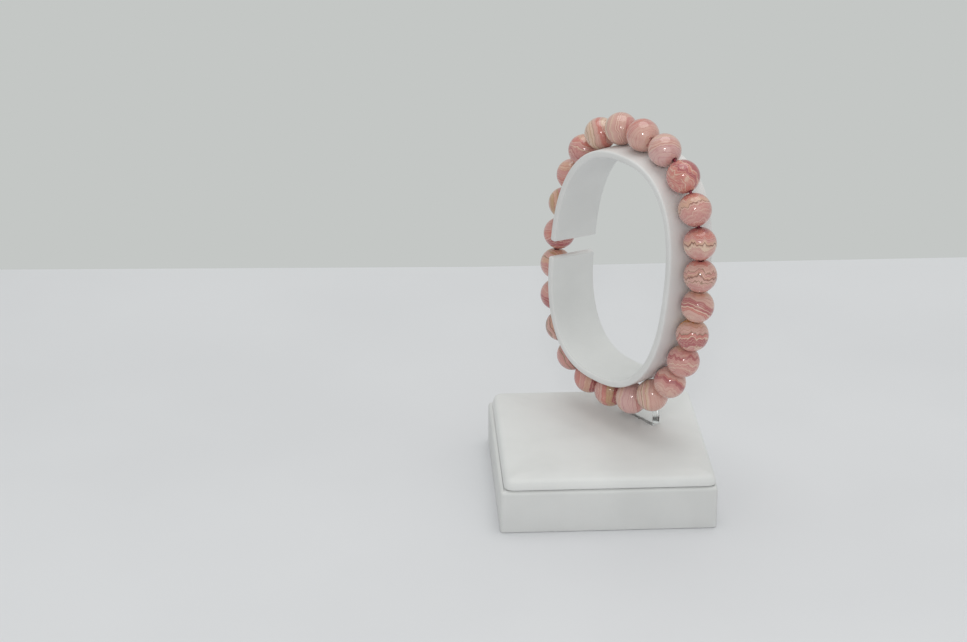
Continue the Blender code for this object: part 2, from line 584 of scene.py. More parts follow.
@dataclass(frozen=True)
class Banding:
    """How one bead's bands run and what they are.

    Attributes:
        lean: angle from upright of the way across the bands, clockwise as seen from the front.
        facing: how far that way is tipped towards the front.
        bands: (start, tone) of each band, from -1 at its low end to 1.
        zigzag: depth of the scalloped waves in the bands, in radii.
        warp: depth of their slow waves, in radii.
        lines: how closely the fine lines lie.
        pale: strength of the fine cream lines.
        dark: strength of the fine olive lines.
        mottle: strength of the cloudy patches.
    """

    lean: float
    facing: float
    bands: tuple[tuple[float, Tone], ...]
    zigzag: float = 0.06
    warp: float = 0.3
    lines: float = 9.0
    pale: float = 0.5
    dark: float = 0.25
    mottle: float = 0.3


@dataclass(frozen=True)
class Rhodochrosite:
    """Polished banded rhodochrosite for one bead.

    Attributes:
        name: the material's name.
        centre: the bead's centre.
        radius: the bead's radius.
        banding: its bands.
        seed: what makes its pattern its own.
        edge: half the width of the fade between two bands.
        flatness: how far the waves ignore the way across the bands, from 0 to 1.
    """

    name: str
    centre: Vector
    radius: float
    banding: Banding
    seed: float
    edge: float = 0.012
    flatness: float = 0.82

    def across(self) -> Vector:
        """Find the way across the bands.

        Returns:
            It, as a unit vector in the shared frame.
        """
        lean, facing = math.radians(self.banding.lean), math.radians(self.banding.facing)
        flat = Eye.RIGHT * math.sin(lean) + Eye.UP * math.cos(lean)
        return flat * math.cos(facing) + Eye.TOWARDS * math.sin(facing)

    def stops(self) -> list[tuple[float, RGB]]:
        """List the colour ramp's stops, two round each edge between bands.

        Returns:
            Their (place, colour) pairs.
        """
        made = [(0.0, self.banding.bands[0][1].value)]
        for (_, before), (start, after) in zip(self.banding.bands, self.banding.bands[1:]):
            at = start * 0.5 + 0.5
            made += [(at - self.edge, before.value), (at + self.edge, after.value)]
        return made

    def material(self) -> bpy.types.Material:
        """Build the material.

        Returns:
            The material.
        """
        look = self.banding
        graph = Graph(self.name, look.bands[0][1].value)
        ball = (graph.place() - tuple(self.centre)) * (1.0 / self.radius)
        own = ball + (self.seed, self.seed * 1.7, -self.seed)
        axis = self.across()
        height = ball.dot(axis)
        along = {0: tuple(axis), "Scale": height * self.flatness}
        level = own - graph.node("ShaderNodeVectorMath", {"operation": "SCALE"}, along)
        slow = graph.noise(own, 0.9, 1.0)
        scallop = graph.cells(level, 2.1, "F1")
        small = graph.cells(level, 5.2)
        shake = graph.noise(own, 7.0, 2.0)
        depth = (
            height
            + (slow - 0.5) * look.warp * 2.0
            + (scallop - 0.45) * look.zigzag * 1.25
            + (small - 0.3) * look.zigzag
            + (shake - 0.5) * 0.06
        )
        ramp_at = {0: depth * 0.5 + 0.5}
        colour = graph.node("ShaderNodeValToRGB", {"stops": self.stops()}, ramp_at, "Color")
        layer = graph.noise_along(depth * (look.lines * 1.6) + self.seed * 3.0, 4.0, 0.75)
        vein = graph.noise_along(depth * (look.lines * 1.9) - self.seed * 5.0, 3.0, 0.65)
        cloud = graph.noise(own, 2.2, 4.0, 0.6)
        patch = graph.noise(own, 1.1, 2.0)
        for share, tone in (
            (cloud.step(0.5, 0.75) * look.mottle, Tone.ROSE),
            (cloud.step(0.48, 0.25) * look.mottle, Tone.CREAM),
            (layer.step(0.53, 0.66) * look.pale, Tone.CREAM),
            (layer.step(0.47, 0.36) * 0.5, Tone.ROSE),
            (vein.step(0.6, 0.68) * patch.step(0.35, 0.6) * look.dark, Tone.OLIVE),
        ):
            colour = graph.blend(share, colour, tone.value)
        pit = graph.noise(own, 30.0, 3.0, 0.7)
        graph.bump(pit, 0.01 * MM)
        graph.dress(
            {
                "Base Color": colour,
                "Roughness": 0.1 + pit.step(0.6, 0.8) * 0.08,
                "Coat Weight": 0.6,
                "Coat Roughness": 0.02,
                "Specular IOR Level": 0.5,
            }
        )
        return graph.material


# Camera, light and floor


@dataclass
class Eye:
    """The camera, placed as the photograph was taken.

    RIGHT, UP and TOWARDS are the picture's own directions in the shared frame.
    """

    RIGHT = Vector((0.9986, -0.0537, 0.0))
    UP = Vector((0.0208, 0.3863, 0.9221))
    TOWARDS = Vector((-0.0495, -0.9208, 0.3869))

    place: Vector = field(default_factory=lambda: Vector((-65.29, -600.61, 303.33)) * MM)
    pitch: float = 22.76
    turn: float = -3.076
    lens: float = 87.11
    sensor: float = 36.0
    clip: tuple[float, float] = (0.01, 20.0)

    def build(self) -> None:
        """Add the camera and make it the scene's."""
        data = bpy.data.cameras.new("eye")
        data.sensor_width = self.sensor
        data.sensor_fit = "HORIZONTAL"
        data.lens = self.lens
        data.clip_start, data.clip_end = self.clip
        camera = bpy.data.objects.new("eye", data)
        bpy.context.scene.collection.objects.link(camera)
        camera.location = self.place
        camera.rotation_euler = (math.radians(90.0 - self.pitch), 0.0, math.radians(self.turn))
        bpy.context.scene.camera = camera


@dataclass(frozen=True)
class Lamp:
    """A round area lamp.

    Attributes:
        name: its name.
        place: where it hangs.
        size: its diameter.
        power: its power in watts.
    """

    name: str
    place: tuple[float, float, float]
    size: float
    power: float

    def build(self, target: Vector) -> None:
        """Add the lamp.

        Args:
            target: the point that it looks at.
        """
        data = bpy.data.lights.new(self.name, "AREA")
        data.shape = "DISK"
        data.size = self.size
        data.energy = self.power
        lamp = bpy.data.objects.new(self.name, data)
        bpy.context.scene.collection.objects.link(lamp)
        lamp.location = self.place
        lamp.rotation_euler = (Vector(self.place) - target).to_track_quat("Z", "Y").to_euler()


@dataclass
class Studio:
    """The pale table, the even light of the room and the lamps."""

    table_back: float = 171.0 * MM
    table_front: float = -1.6
    table_half_width: float = 1.4
    table_skew: float = -0.038
    skew_from: float = -24.0 * MM
    strips: int = 112
    room: RGB = paint(196, 199, 197)
    preview: RGB = paint(225, 225, 228)
    pale: RGB = paint(226, 226, 229)
    dull: RGB = paint(222, 222, 225)
    lit_height: float = 40.0 * MM
    lamps: tuple[Lamp, ...] = (
        Lamp("softbox", (0.05, 0.1, 1.0), 0.9, 3.05),
        Lamp("front_fill", (0.35, -1.3, 0.65), 1.1, 1.7),
        Lamp("spark", (-0.07, -0.62, 0.42), 0.07, 0.5),
    )

    def build(self) -> None:
        """Add the table, the room's light and the lamps."""
        self._table()
        world = bpy.data.worlds.new("room")
        world.use_nodes = True
        world.node_tree.nodes["Background"].inputs["Color"].default_value = (*self.room, 1.0)
        bpy.context.scene.world = world
        view = bpy.context.scene.view_settings
        view.view_transform = "Standard"
        view.look = "None"
        for lamp in self.lamps:
            lamp.build(Vector((0.0, 0.0, self.lit_height)))

    def _table(self) -> None:
        """Add the table top."""
        depth = self.table_back - self.table_front
        centre = Vector((0.0, (self.table_back + self.table_front) / 2, 0.0))
        deselect()
        bpy.ops.mesh.primitive_grid_add(
            x_subdivisions=self.strips, y_subdivisions=1, size=1.0, location=centre
        )
        table = bpy.context.object
        table.name = "table"
        table.scale = (2 * self.table_half_width, depth, 1.0)
        settle(table)
        shape_points(table, self._skewed)
        graph = Graph("table_top", self.preview)
        cloud = graph.noise(graph.place(), 9.0, 3.0)
        tone = graph.blend(cloud.step(0.3, 0.7), self.pale, self.dull)
        graph.dress({"Base Color": tone, "Roughness": 0.55})
        table.data.materials.append(graph.material)

    def _skewed(self, point: Vector) -> Vector:
        """Turn the left part of the table's back edge a little, as the photograph has it.

        Args:
            point: a point of the table.

        Returns:
            Its new place.
        """
        if point.y < 0.0:
            return point
        move = min(point.x - self.skew_from, 0.0) * self.table_skew
        return Vector((point.x, point.y + move, point.z))


# The stand


@dataclass
class Base:
    """The square block wrapped in leatherette, with a paper liner let into its underside."""

    side: float = 60.0 * MM
    height: float = 12.5 * MM
    corner: float = 1.0 * MM
    shoulder: float = 1.1 * MM
    foot: float = 0.45 * MM
    hem: float = 7.0 * MM
    liner: float = 0.35 * MM
    liner_room: float = 0.1 * MM
    liner_corner: float = 1.2 * MM
    long_edge: float = 8.0 * MM
    cuts: int = 29

    def build(self, wrap: bpy.types.Material, paper: bpy.types.Material) -> None:
        """Model and dress the block and its liner.

        Args:
            wrap: the block's finish.
            paper: the liner's finish.
        """
        centre = Vector((0.0, 0.0, self.height / 2))
        block = add_box("base_wrap", Vector((self.side, self.side, self.height)), centre)
        with editing(block):
            pick("EDGE", lambda e: climb(e) > self.height / 2)
            bpy.ops.mesh.bevel(offset=self.corner, segments=5, profile=0.5)
            pick("EDGE", lambda e: all(v.co.z > self.height - NEAR for v in e.verts))
            bpy.ops.mesh.bevel(offset=self.shoulder, segments=5, profile=0.5)
            pick("EDGE", lambda e: all(v.co.z < NEAR for v in e.verts))
            bpy.ops.mesh.bevel(offset=self.foot, segments=3, profile=0.5)
            pick("FACE", lambda f: f.normal.z < -0.99)
            bpy.ops.mesh.inset(thickness=self.hem)
            bpy.ops.mesh.extrude_region_move(TRANSFORM_OT_translate={"value": (0.0, 0.0, self.liner)})
            pick("EDGE", lambda e: e.calc_length() > self.long_edge and climb(e) < LEVEL)
            bpy.ops.mesh.subdivide(number_cuts=self.cuts)
        smooth(block)
        seat(block, wrap, "wrap", "base")
        inner = self.side - 2 * (self.foot + self.hem + self.liner_room)
        centre = Vector((0.0, 0.0, self.liner_room + self.liner / 2))
        sheet = add_box("liner_sheet", Vector((inner, inner, self.liner)), centre)
        with editing(sheet):
            pick("EDGE", lambda e: climb(e) > self.liner / 2)
            bpy.ops.mesh.bevel(offset=self.liner_corner, segments=4, profile=0.5)
        smooth(sheet)
        seat(sheet, paper, "wrap")


@dataclass
class Oval:
    """The oval that the ring and the bracelet follow.

    In its own frame x runs along its width, y across the band and z up, from its middle.
    """

    half_width: float = 24.9 * MM
    half_height: float = 35.0 * MM
    squareness: float = 2.47
    lean: float = 0.118
    turn: float = math.radians(-55.0)
    behind: float = 9.4 * MM
    middle: float = 64.9 * MM
    samples: int = 1440

    def frame(self) -> Matrix:
        """Where the oval's own frame stands."""
        spun = Matrix.Translation((0.0, 0.0, self.middle)) @ Matrix.Rotation(self.turn, 4, "Z")
        return spun @ Matrix.Translation((0.0, self.behind, 0.0))

    def points(self, outset: float = 0.0) -> list[Vector]:
        """List the oval's points, from its +x side over the top and back under.

        Args:
            outset: how far the oval is pushed out.

        Returns:
            The points, in the oval's own frame.
        """
        power = 2.0 / self.squareness
        plain = []
        for k in range(self.samples):
            angle = math.tau * k / self.samples
            across, up = math.cos(angle), math.sin(angle)
            z = self.half_height * math.copysign(abs(up) ** power, up)
            x = self.half_width * math.copysign(abs(across) ** power, across) + self.lean * z
            plain.append(Vector((x, 0.0, z)))
        pushed = []
        for k, point in enumerate(plain):
            along = plain[(k + 1) % self.samples] - plain[k - 1]
            pushed.append(point + Vector((along.z, 0.0, -along.x)).normalized() * outset)
        return pushed

    def low_edge(self, x: float, outset: float) -> float:
        """The height of the oval's underside at a place along its width."""
        low = [p for p in self.points(outset) if p.z < 0.0]
        return min(low, key=lambda p: abs(p.x - x)).z


class Walk:
    """A closed run of points that is walked by arc length."""

    def __init__(self, points: list[Vector]) -> None:
        """Measure the run.

        Args:
            points: its points, in order.
        """
        self.points = points
        self.lengths = [0.0]
        for k, point in enumerate(points):
            self.lengths.append(self.lengths[-1] + (points[(k + 1) % len(points)] - point).length)
        self.total = self.lengths[-1]

    def at(self, arc: float) -> Vector:
        """Find a point of the run.

        Args:
            arc: its arc length from the first point.

        Returns:
            The point.
        """
        arc %= self.total
        low, high = 0, len(self.points)
        while high - low > 1:
            middle = (low + high) // 2
            low, high = (middle, high) if self.lengths[middle] <= arc else (low, middle)
        share = (arc - self.lengths[low]) / (self.lengths[low + 1] - self.lengths[low])
        return self.points[low].lerp(self.points[(low + 1) % len(self.points)], share)

    def arc_at_left_height(self, height: float) -> float:
        """Find where the run's -x side is at a height.

        Args:
            height: the height.

        Returns:
            The arc length there.
        """
        count = len(self.points)
        spots = range(count // 4, 3 * count // 4)
        return self.lengths[min(spots, key=lambda k: abs(self.points[k].z - height))]


@dataclass
class Stem:
    """The clear block between the pad and the ring."""

    length: float = 12.8 * MM
    front: float = 5.2 * MM
    thickness: float = 2.75 * MM
    low: float = 15.45 * MM
    edge: float = 0.1 * MM
    clearance: float = 0.03 * MM
    cuts: int = 24

    def build(self, oval: Oval, clear: bpy.types.Material) -> None:
        """Model the block, with its top hollowed to the ring, and dress it.

        Args:
            oval: the ring's oval.
            clear: the finish.
        """
        low = self.low - oval.middle
        high = -oval.half_height
        size = Vector((self.length, self.thickness, high - low))
        centre = Vector((0.0, self.front + self.thickness / 2, (high + low) / 2))
        block = add_box("acrylic_stem", size, centre)
        with editing(block):
            pick("EDGE", lambda e: e.calc_length() > self.length * 0.99 and climb(e) < LEVEL)
            bpy.ops.mesh.subdivide(number_cuts=self.cuts)

        def seat_top(point: Vector) -> Vector:
            """Bring a point of the top to the ring's underside, and leave the others."""
            if point.z < high - LEVEL:
                return point
            return Vector((point.x, point.y, oval.low_edge(point.x, self.clearance)))

        shape_points(block, seat_top)
        round_edges(block, self.edge, 3, 40.0)
        settle(block, oval.frame())
        smooth(block, 30.0)
        seat(block, clear, "clear", "stem")

    def distance(self, place: Vector, oval: Oval) -> float:
        """Measure how far a point lies from the stem, seen from above.

        Args:
            place: the point.
            oval: the ring's oval.

        Returns:
            The distance, below 0 inside the stem.
        """
        own = oval.frame().inverted() @ Vector((place.x, place.y, oval.middle))
        x = abs(own.x) - self.length / 2
        y = abs(own.y - self.front - self.thickness / 2) - self.thickness / 2
        outside = math.hypot(max(x, 0.0), max(y, 0.0))
        return outside if outside > 0.0 else max(x, y)


@dataclass
class Pad:
    """The padded panel on the base, filled by simulation and cut for the stem.

    Its rows below held_to stay still while it is filled, and the movement grows to its full
    size, rise at most, over the height ease_over above them.
    """

    side: float = 58.6 * MM
    low: float = 12.5 * MM
    high: float = 16.1 * MM
    corner: float = 2.4 * MM
    shoulder: float = 2.4 * MM
    shoulder_drop: float = 0.42 * MM
    roll: float = 2.3 * MM
    roll_in: float = 0.6 * MM
    tilt: float = 0.009
    shift: tuple[float, float] = (0.4 * MM, -0.4 * MM)
    foot: float = 12.86 * MM
    groove: float = 1.2 * MM
    cells: int = 56
    sides: int = 10
    model_scale: float = 10.0
    pressure: float = 4.0
    frames: int = 20
    rise: float = 0.3 * MM
    held_to: float = 13.0 * MM
    ease_over: float = 2.4 * MM
    slot_room: float = 0.05 * MM
    slot_height: float = 10.0 * MM
    top_band: float = 0.3 * MM
    dimple: float = 0.3 * MM
    dimple_reach: float = 1.3 * MM
    pucker: float = 0.16 * MM
    pucker_reach: float = 4.5 * MM
    folds: int = 7
    swells: int = 3

    def build(self, oval: Oval, stem: Stem, wrap: bpy.types.Material) -> None:
        """Model, fill, cut and dress the panel.

        Args:
            oval: the ring's oval.
            stem: the stem that stands in the panel.
            wrap: the finish.
        """
        pad = self._panel()
        self._fill(pad)
        finish_modifier(pad, "SUBSURF", levels=1, render_levels=1)
        shape_points(pad, lambda point: self._pulled(point, oval, stem))
        self._cut_slot(pad, oval, stem)
        smooth(pad, 45.0)
        seat(pad, wrap, "wrap", "top_pad")

    def _rounded(self, point: Vector) -> Vector:
        """Draw a point of the flat grid in, so that the grid's corners are round.

        Args:
            point: the point.

        Returns:
            Its new place.
        """
        flat = self.side / 2 - self.corner
        x, y = abs(point.x) - flat, abs(point.y) - flat
        if min(x, y) <= 0.0:
            return point
        share = max(x, y) / math.hypot(x, y)
        x, y = flat + x * share, flat + y * share
        return Vector((math.copysign(x, point.x), math.copysign(y, point.y), point.z))

    def _shaped(self, point: Vector) -> Vector:
        """Round the panel's rim, tilt its top, draw its foot in, and shift it to its place.

        Args:
            point: a point of the plain panel.

        Returns:
            Its new place.
        """
        x, y, z = point
        flat = self.side / 2 - self.corner
        out_x, out_y = abs(x) - flat, abs(y) - flat
        inset = self.corner - math.hypot(max(out_x, 0.0), max(out_y, 0.0))
        inset -= min(max(out_x, out_y), 0.0)
        share = max(0.0, 1.0 - inset / self.shoulder)
        fall = self.shoulder_drop * share * share - self.tilt * y
        fall *= (z - self.low) / (self.high - self.low)
        inward = 0.0
        if inset < LEVEL:
            left = 1.0 - min(max((self.high - z) / self.roll, 0.0), 1.0)
            inward = self.roll_in * (1.0 - math.sqrt(1.0 - left * left))
            inward += self.groove * max(0.0, (self.foot - z) / (self.foot - self.low))
        factor = 1.0 - 2.0 * inward / self.side
        return Vector((x * factor + self.shift[0], y * factor + self.shift[1], z - fall))

    def _panel(self) -> bpy.types.Object:
        """Model the panel before it is filled: a grid whose rim is drawn down and closed.

        Returns:
            The panel.
        """
        deselect()
        top = (0.0, 0.0, self.high)
        bpy.ops.mesh.primitive_grid_add(
            x_subdivisions=self.cells, y_subdivisions=self.cells, size=self.side, location=top
        )
        pad = bpy.context.object
        pad.name = pad.data.name = "pad_cushion"
        settle(pad)
        shape_points(pad, self._rounded)
        drop = (self.low - self.high) / self.sides
        with editing(pad):
            pick("EDGE", lambda e: e.is_boundary)
            for _ in range(self.sides):
                bpy.ops.mesh.extrude_region_move(TRANSFORM_OT_translate={"value": (0.0, 0.0, drop)})
            pick("EDGE", lambda e: e.is_boundary)
            bpy.ops.mesh.edge_face_add()
            bpy.ops.mesh.select_all(action="SELECT")
            bpy.ops.mesh.normals_make_consistent(inside=False)
        shape_points(pad, self._shaped)
        return pad

    def _fill(self, pad: bpy.types.Object) -> None:
        """Blow the panel up as foam does under its cover, at model_scale times its size.

        Args:
            pad: the panel.
        """
        before = [point.co.copy() for point in pad.data.vertices]
        held = [k for k, point in enumerate(before) if point.z < self.held_to]
        shape_points(pad, lambda point: point * self.model_scale)
        group = pad.vertex_groups.new(name="held")
        group.add(held, 1.0, "REPLACE")
        cloth = pad.modifiers.new("filling", "CLOTH")
        cloth.settings.use_pressure = True
        cloth.settings.uniform_pressure_force = self.pressure
        cloth.settings.effector_weights.gravity = 0.0
        cloth.settings.vertex_group_mass = "held"
        scene = bpy.context.scene
        for frame_number in range(1, self.frames + 1):
            scene.frame_set(frame_number)
        view = pad.evaluated_get(bpy.context.evaluated_depsgraph_get())
        swollen = [point.co.copy() / self.model_scale for point in view.data.vertices]
        pad.modifiers.remove(cloth)
        pad.vertex_groups.remove(group)
        for point, old, new in zip(pad.data.vertices, before, swollen):
            point.co = self._eased(old, new)
        pad.data.update()
        scene.frame_set(1)

    def _eased(self, old: Vector, new: Vector) -> Vector:
        """Cap how far a point was blown, and let it grow from nothing above the held rows.

        Args:
            old: the point's place before.
            new: its place after.

        Returns:
            The place that it takes.
        """
        move = new - old
        if move.length < 1e-9:
            return old
        share = min(max((old.z - self.held_to) / self.ease_over, 0.0), 1.0)
        share *= share * (3.0 - 2.0 * share)
        return old + move * (share * self.rise * math.tanh(move.length / self.rise) / move.length)

    def _pulled(self, point: Vector, oval: Oval, stem: Stem) -> Vector:
        """Pull the cover down round the stem, with small folds that run away from it.

        Args:
            point: a point of the cover.
            oval: the ring's oval.
            stem: the stem.

        Returns:
            Its new place.
        """
        if point.z < self.high - self.top_band:
            return point
        away = max(stem.distance(point, oval), 0.0)
        middle = oval.frame() @ Vector((0.0, stem.front + stem.thickness / 2, 0.0))
        angle = math.atan2(point.y - middle.y, point.x - middle.x)
        dip = self.dimple * math.exp(-away / self.dimple_reach)
        fold = self.pucker * math.exp(-away / self.pucker_reach)
        fold *= math.sin(self.folds * angle + 0.6)
        fold *= 0.6 + 0.4 * math.sin(self.swells * angle + 1.1)
        return Vector((point.x, point.y, point.z - dip + fold))

    def _cut_slot(self, pad: bpy.types.Object, oval: Oval, stem: Stem) -> None:
        """Cut the slot that the stem stands in.

        Args:
            pad: the panel.
            oval: the ring's oval.
            stem: the stem.
        """
        room = 2 * self.slot_room
        size = Vector((stem.length + room, stem.thickness + room, self.slot_height))
        low = stem.low - oval.middle - self.slot_room
        centre = Vector((0.0, stem.front + stem.thickness / 2, low + size.z / 2))
        cutter = add_box("slot_shape", size, centre)
        settle(cutter, oval.frame())
        finish_modifier(pad, "BOOLEAN", operation="DIFFERENCE", solver="EXACT", object=cutter)
        bpy.data.objects.remove(cutter, do_unlink=True)


@dataclass
class Strip:
    """A strip laid round the inside or outside of the oval, from one jaw of the gap to the other.

    Attributes:
        name: the piece's name.
        depth: how far its outer face lies inside the oval.
        width: its width across the band.
        thickness: its thickness, grown inwards.
        rounding: radius of its edges.
        short: how far each end stops short of the gap.
        along: how many cells it has round the oval.
        across: how many cells it has across the band.
        gap_height: height of the gap's middle.
        gap_width: width of the gap.
        gap_slope: how far the gap runs along the oval per distance across the band.
    """

    name: str
    depth: float
    width: float
    thickness: float
    rounding: float
    short: float = 0.0
    along: int = 300
    across: int = 8
    gap_height: float = 63.6 * MM
    gap_width: float = 5.1 * MM
    gap_slope: float = 0.09

    def build(self, oval: Oval, wrap: bpy.types.Material, node: str) -> None:
        """Model and dress the strip.

        Args:
            oval: the oval that it follows.
            wrap: the finish.
            node: the CAD node that it replaces.
        """
        deselect()
        bpy.ops.mesh.primitive_grid_add(
            x_subdivisions=self.along, y_subdivisions=self.across, size=2.0
        )
        strip = bpy.context.object
        strip.name = strip.data.name = self.name
        walk = Walk(oval.points(-self.depth))
        gap = walk.arc_at_left_height(self.gap_height - oval.middle)
        start = gap + self.gap_width / 2 + self.short
        length = walk.total - self.gap_width - 2 * self.short

        def lay(point: Vector) -> Vector:
            """Lay a point of the flat grid round the oval.

            Args:
                point: the point, from -1 to 1 along the strip and across it.

            Returns:
                Its new place.
            """
            side = -point.y * self.width / 2
            spot = walk.at(start + (point.x + 1.0) / 2 * length + self.gap_slope * side)
            return Vector((spot.x, side, spot.z))

        shape_points(strip, lay)
        inwards = {"thickness": self.thickness, "offset": -1.0, "use_even_offset": True}
        finish_modifier(strip, "SOLIDIFY", **inwards)
        round_edges(strip, self.rounding, 5, 50.0)
        settle(strip, oval.frame())
        smooth(strip, 50.0)
        seat(strip, wrap, "wrap", node)


# The bracelet


def run(first: Tone, *rest: float | Tone) -> tuple[tuple[float, Tone], ...]:
    """Put a first tone, and each next band's start and tone, together as a bead's bands."""
    return ((-1, first), *zip(rest[::2], rest[1::2]))


def bandings() -> list[Banding]:
    """List how each bead is banded.

    Returns:
        The banding of each bead in turn, from the one at the top and clockwise.
    """
    t = Tone
    return [
        Banding(88, 35, run(
            t.BLUSH, -0.66, t.OCHRE, -0.62, t.CREAM, -0.45, t.OLIVE, -0.42, t.BLUSH, -0.12, t.CREAM,
            -0.03, t.BLUSH, 0.7, t.PINK
        ), warp=0.2, lines=11, pale=0.85, mottle=0.15),
        Banding(-30, -40, run(
            t.BLUSH, -0.1, t.PINK, 0.2, t.BLUSH, 0.28, t.SALMON, 0.5, t.BLUSH, 0.58, t.SALMON
        ), zigzag=0.05, dark=0.15),
        Banding(0, -35, run(
            t.LILAC, -0.3, t.BLUSH, 0.1, t.LILAC, 0.34, t.CREAM, 0.44, t.BLUSH, 0.7, t.PINK
        ), warp=0.25, lines=8, pale=0.6, dark=0.2),
        Banding(40, 10, run(
            t.SALMON, -0.3, t.CREAM, -0.26, t.SALMON, 0.08, t.CREAM, 0.12, t.SALMON, 0.24, t.ROSE,
            0.46, t.SALMON, 0.6, t.CREAM, 0.64, t.ROSE
        ), zigzag=0.16, warp=0.6, lines=8, mottle=0.8),
        Banding(-22, -10, run(
            t.PINK, -0.35, t.BLUSH, -0.28, t.PINK, 0.08, t.BLUSH, 0.2, t.BROWN, 0.25, t.PEACH,
            0.6, t.CREAM, 0.66, t.SALMON
        ), zigzag=0.3, lines=8, pale=0.55, dark=0.45),
        Banding(0, -5, run(
            t.PINK, -0.62, t.BLUSH, -0.34, t.CREAM, -0.18, t.BROWN, -0.08, t.PEACH, 0.08, t.PINK,
            0.3, t.SALMON, 0.7, t.ROSE
        ), zigzag=0.34, warp=0.25, lines=10, pale=0.6, dark=0.5),
        Banding(5, -5, run(
            t.PINK, -0.5, t.BLUSH, -0.34, t.OLIVE, -0.29, t.BLUSH, -0.12, t.BROWN, -0.05, t.PEACH,
            0.06, t.PINK, 0.18, t.OLIVE, 0.22, t.BLUSH, 0.55, t.SALMON
        ), zigzag=0.3, warp=0.25, lines=11, pale=0.65, dark=0.5),
        Banding(20, -10, run(
            t.BLUSH, -0.68, t.SALMON, -0.5, t.CREAM, -0.42, t.ROSE, -0.25, t.CREAM, -0.2, t.ROSE,
            0.14, t.BLUSH, 0.5, t.PEACH
        ), zigzag=0.08, lines=11, pale=0.6, dark=0.35),
        Banding(0, -8, run(
            t.PINK, -0.78, t.CREAM, -0.72, t.ROSE, -0.3, t.CREAM, -0.24, t.SALMON, -0.04, t.BROWN,
            0.04, t.BLUSH, 0.4, t.PEACH, 0.7, t.AMBER
        ), zigzag=0.26, warp=0.2, pale=0.6, dark=0.4),
        Banding(10, -5, run(
            t.PINK, -0.55, t.CREAM, -0.5, t.PINK, -0.28, t.CREAM, -0.23, t.PINK, 0.1, t.ROSE,
            0.3, t.PINK, 0.7, t.PEACH
        ), zigzag=0.3, warp=0.25, lines=11, pale=0.65, dark=0.2),
        Banding(24, -8, run(
            t.BLUSH, -0.42, t.PINK, -0.16, t.ROSE, 0.1, t.SALMON, 0.18, t.BLUSH, 0.7, t.PINK
        ), zigzag=0.2, warp=0.2, lines=7, pale=0.4, dark=0.12),
        Banding(88, 15, run(
            t.BLUSH, -0.8, t.OLIVE, -0.77, t.CREAM, -0.68, t.OCHRE, -0.65, t.BLUSH, -0.56, t.CREAM,
            -0.52, t.BLUSH, -0.45, t.OLIVE, -0.42, t.CREAM, -0.33, t.BLUSH, -0.2, t.OCHRE,
            -0.17, t.CREAM, -0.05, t.BLUSH
        ), warp=0.18, lines=12, pale=0.6, dark=0.3, mottle=0.1),
        Banding(92, 20, run(
            t.LILAC, -0.74, t.CREAM, -0.68, t.LILAC, -0.6, t.CREAM, -0.54, t.PINK, -0.45, t.CREAM,
            -0.38, t.LILAC, 0.5, t.PINK, 0.7, t.LILAC
        ), warp=0.2, pale=0.9, dark=0.05, mottle=0.1),
        Banding(95, 10, run(
            t.PINK, -0.62, t.BLUSH, -0.5, t.SALMON, -0.18, t.OCHRE, 0.3, t.ROSE
        ), zigzag=0.1, warp=0.25, pale=0.55, dark=0.3, mottle=0.7),
        Banding(100, 10, run(
            t.SALMON, -0.5, t.BLUSH, -0.42, t.PINK, -0.15, t.PEACH, 0.25, t.ROSE
        ), zigzag=0.08, warp=0.2, dark=0.3),
        Banding(60, 0, run(
            t.PINK, -0.6, t.OLIVE, -0.52, t.PINK, -0.25, t.OLIVE, -0.18, t.ROSE, 0.3, t.OCHRE,
            0.4, t.PINK
        ), lines=10, pale=0.55, dark=0.5),
        Banding(75, 0, run(
            t.PINK, -0.82, t.OLIVE, -0.74, t.BLUSH, -0.6, t.BROWN, -0.55, t.PEACH, -0.35, t.ROSE,
            0.1, t.PINK
        ), zigzag=0.05, lines=11, dark=0.5),
        Banding(20, 0, run(
            t.ROSE, -0.3, t.PINK, 0.1, t.BLUSH, 0.17, t.PINK, 0.5, t.PEACH
        ), zigzag=0.08),
        Banding(40, 0, run(
            t.PINK, -0.5, t.PEACH, -0.2, t.OLIVE, -0.12, t.BLUSH, 0.3, t.OCHRE, 0.38, t.PEACH
        ), zigzag=0.08, dark=0.4),
        Banding(-8, 0, run(
            t.SALMON, -0.8, t.BLUSH, -0.74, t.ROSE, -0.4, t.BLUSH, -0.35, t.SALMON, 0.2, t.PINK
        ), dark=0.3),
        Banding(80, 0, run(
            t.PINK, -0.88, t.OCHRE, -0.6, t.PEACH, -0.4, t.OCHRE, -0.3, t.PINK
        ), warp=0.2, lines=8, pale=0.4, dark=0.4),
        Banding(10, 0, run(
            t.SALMON, -0.3, t.PINK, 0.1, t.PEACH, 0.6, t.BLUSH
        ), zigzag=0.05, lines=7, pale=0.4, dark=0.15),
        Banding(30, 0, run(
            t.PINK, -0.5, t.ROSE, -0.42, t.PINK, -0.15, t.CREAM, -0.08, t.PINK, 0.2, t.BLUSH,
            0.3, t.SALMON, 0.6, t.PEACH
        ), zigzag=0.2, warp=0.6, lines=8, pale=0.55, mottle=0.7),
        Banding(75, 15, run(
            t.CREAM, -0.8, t.OCHRE, -0.77, t.CREAM, -0.62, t.OLIVE, -0.59, t.CREAM, -0.42, t.OCHRE,
            -0.38, t.CREAM, -0.2, t.OLIVE, -0.17, t.BLUSH, 0.1, t.SALMON, 0.36, t.BLUSH,
            0.5, t.OCHRE, 0.54, t.CREAM
        ), zigzag=0.1, warp=0.35, lines=12, pale=0.8, dark=0.15, mottle=0.1),
    ]


